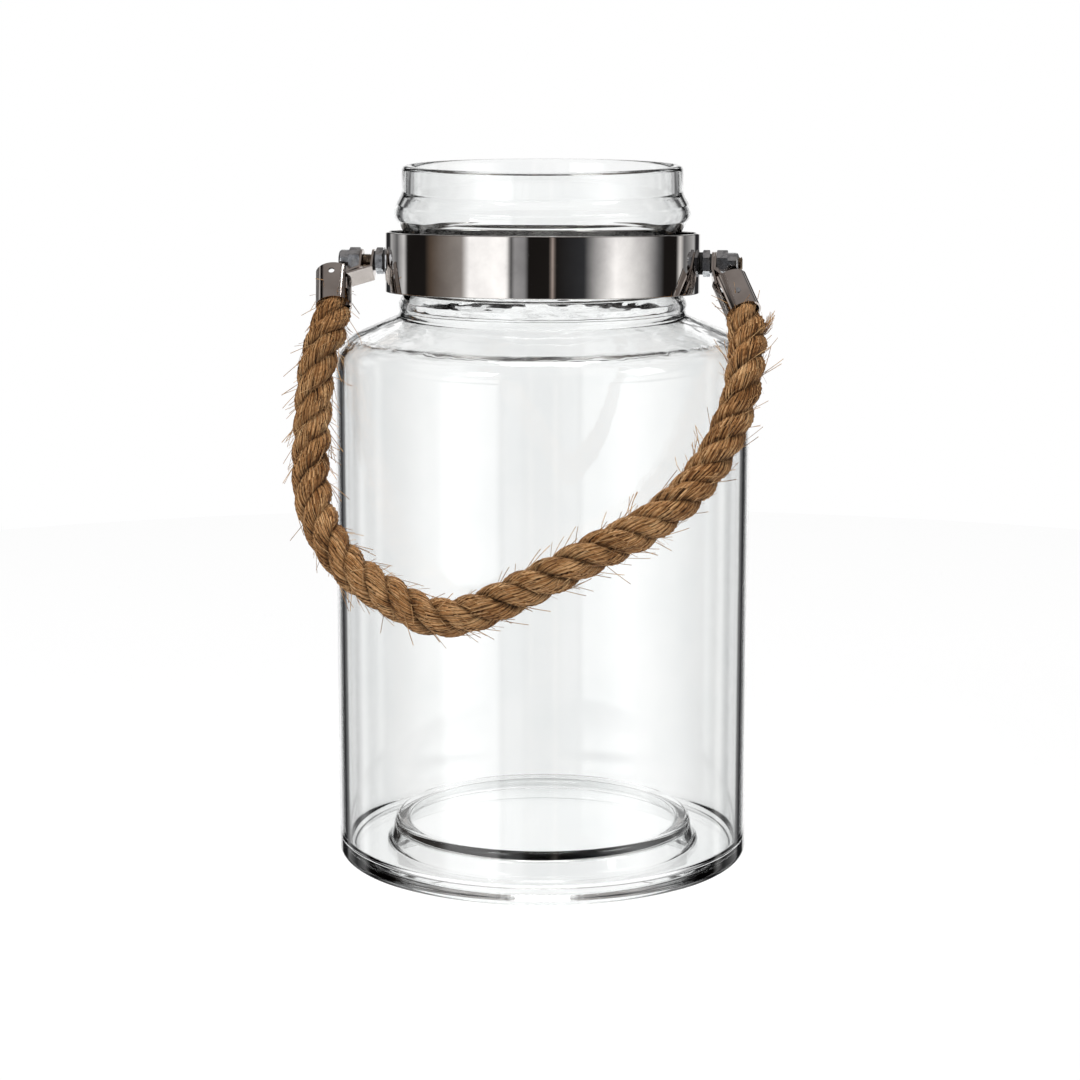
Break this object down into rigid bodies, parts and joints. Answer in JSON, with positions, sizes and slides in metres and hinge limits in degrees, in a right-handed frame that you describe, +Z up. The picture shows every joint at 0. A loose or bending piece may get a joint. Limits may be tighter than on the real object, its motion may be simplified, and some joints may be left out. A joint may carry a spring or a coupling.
{
  "type": "hanging lantern",
  "caption": "Hanging jar lantern: straight-sided clear glass vessel with a bulged neck, a polished steel neck band and a thick rope handle swinging on two side bolts.",
  "frame": {"origin": "centre of the foot, on the table", "axes": "+Z up along the jar's axis, +Y to the back, +X to the handle side named right"},
  "size_m": [0.2002, 0.1968, 0.3025],
  "materials": {
    "glass": "clear, smooth",
    "polished_steel": "mirror polished",
    "zinc_steel": "zinc plated, satin",
    "black_rubber": "matte",
    "nylon": "satin",
    "natural_rope": "twisted natural fibre"
  },
  "bodies": {
    "jar": {"glass_jar": "glass"},
    "band": {"neck_band": "polished_steel", "left_bolt": "zinc_steel", "right_bolt": "zinc_steel", "left_bolt_pad": "black_rubber", "right_bolt_pad": "black_rubber", "left_rubber_washer": "black_rubber", "right_rubber_washer": "black_rubber", "left_jam_nut": "zinc_steel", "right_jam_nut": "zinc_steel", "left_pivot_washer": "nylon", "right_pivot_washer": "nylon", "left_lock_nut": "zinc_steel", "right_lock_nut": "zinc_steel", "left_nylon_insert": "nylon", "right_nylon_insert": "nylon"},
    "handle": {"left_rope_cap": "polished_steel", "right_rope_cap": "polished_steel", "left_rope_pin": "zinc_steel", "right_rope_pin": "zinc_steel", "rope": "natural_rope"}
  },
  "joints": [
    {"name": "band_turn", "type": "hinge", "parent": "jar", "child": "band", "pos_m": [0, 0, 0.261], "axis": [0, 0, 1], "continuous": true},
    {"name": "handle_swing", "type": "hinge", "parent": "band", "child": "handle", "pos_m": [0, 0, 0.261], "axis": [-0.9945, 0.1045, 0], "range_deg": [0, 266]}
  ]
}
